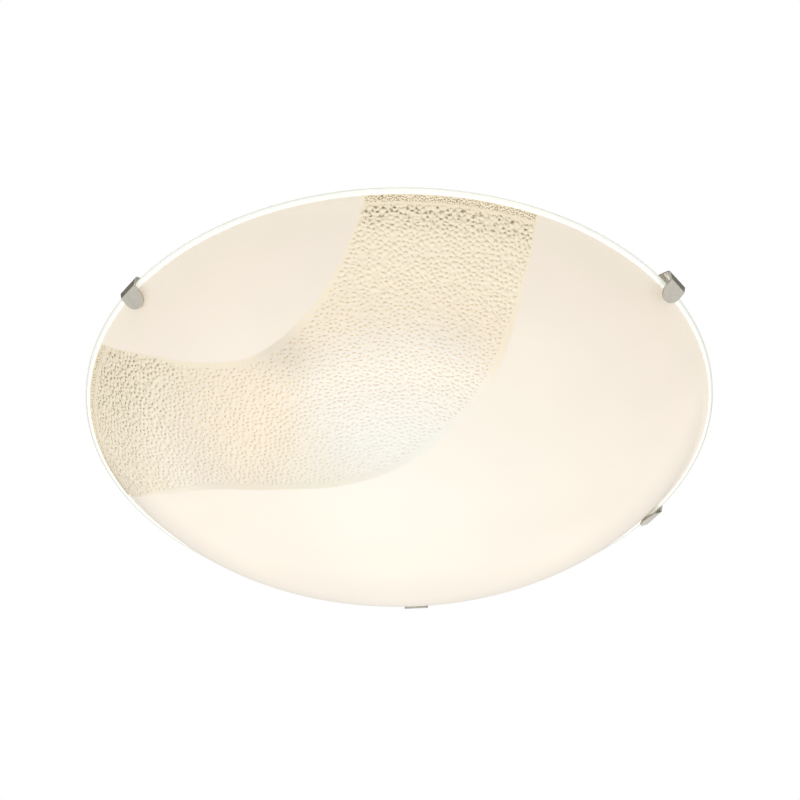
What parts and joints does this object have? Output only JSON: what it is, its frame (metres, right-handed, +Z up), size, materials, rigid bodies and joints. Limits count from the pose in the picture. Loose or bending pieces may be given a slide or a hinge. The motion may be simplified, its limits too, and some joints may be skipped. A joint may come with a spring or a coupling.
{
  "type": "led ceiling light",
  "caption": "Round flush ceiling light: a white coated bent glass bowl with a clear grained band, held by strip clips under a pressed pan with an LED module.",
  "frame": {"origin": "middle of the bracket's top face, in the plane of the ceiling", "axes": "+Z up into the ceiling; -X outwards along the sliding clip; the bracket runs along Y"},
  "size_m": [0.3182, 0.315, 0.0837],
  "materials": {
    "coated_glass": "white satin coat on bent clear glass, with a grained clear band",
    "satin_nickel": "satin nickel plate on bent steel strip",
    "white_powder_coat": "white powder coat on pressed steel",
    "zinc_plate": "bright zinc plate",
    "spring_steel": "drawn spring wire",
    "white_board": "white solder mask on an aluminium board",
    "led_phosphor": "yellow phosphor gel, lit",
    "opal_cover": "opal moulded polycarbonate, lit from behind",
    "clear_silicone": "moulded clear silicone",
    "white_plastic": "moulded white plastic",
    "terminal_plastic": "moulded pale nylon",
    "brass": "turned brass",
    "grey_rubber": "moulded grey rubber",
    "brown_wire": "brown insulation",
    "blue_wire": "blue insulation",
    "earth_wire": "green and yellow insulation",
    "red_wire": "red insulation",
    "black_wire": "black insulation"
  },
  "bodies": {
    "base": {"glass_bowl": "coated_glass", "left_clip": "satin_nickel", "middle_clip": "satin_nickel", "right_clip": "satin_nickel", "clip_pads": "clear_silicone", "clip_rivets": "zinc_plate", "guide_rivets": "zinc_plate", "inner_guide": "zinc_plate", "outer_guide": "zinc_plate", "clip_spring": "spring_steel", "pan": "white_powder_coat", "ceiling_bracket": "zinc_plate", "weld_nuts": "zinc_plate", "pan_screws": "zinc_plate", "led_board": "white_board", "led_chips": "led_phosphor", "led_cover": "opal_cover", "board_screws": "zinc_plate", "cover_screws": "zinc_plate", "board_connector": "white_plastic", "lead_grommet": "grey_rubber", "driver_case": "white_plastic", "driver_lid": "white_plastic", "driver_screws": "zinc_plate", "terminal_block": "terminal_plastic", "terminal_screws": "brass", "terminal_fixing_screw": "zinc_plate", "earth_terminal": "brass", "earth_screw": "zinc_plate", "live_lead": "brown_wire", "neutral_lead": "blue_wire", "earth_lead": "earth_wire", "led_lead_plus": "red_wire", "led_lead_minus": "black_wire"},
    "slider": {"sliding_clip": "satin_nickel", "sliding_clip_pad": "clear_silicone"}
  },
  "joints": [
    {"name": "clip_slide", "type": "slide", "parent": "base", "child": "slider", "axis": [-1, 0, 0], "range_m": [0, 0.012], "stiffness_N_per_m": 500, "springref_m": -0.01, "deforming": ["clip_spring"]}
  ]
}
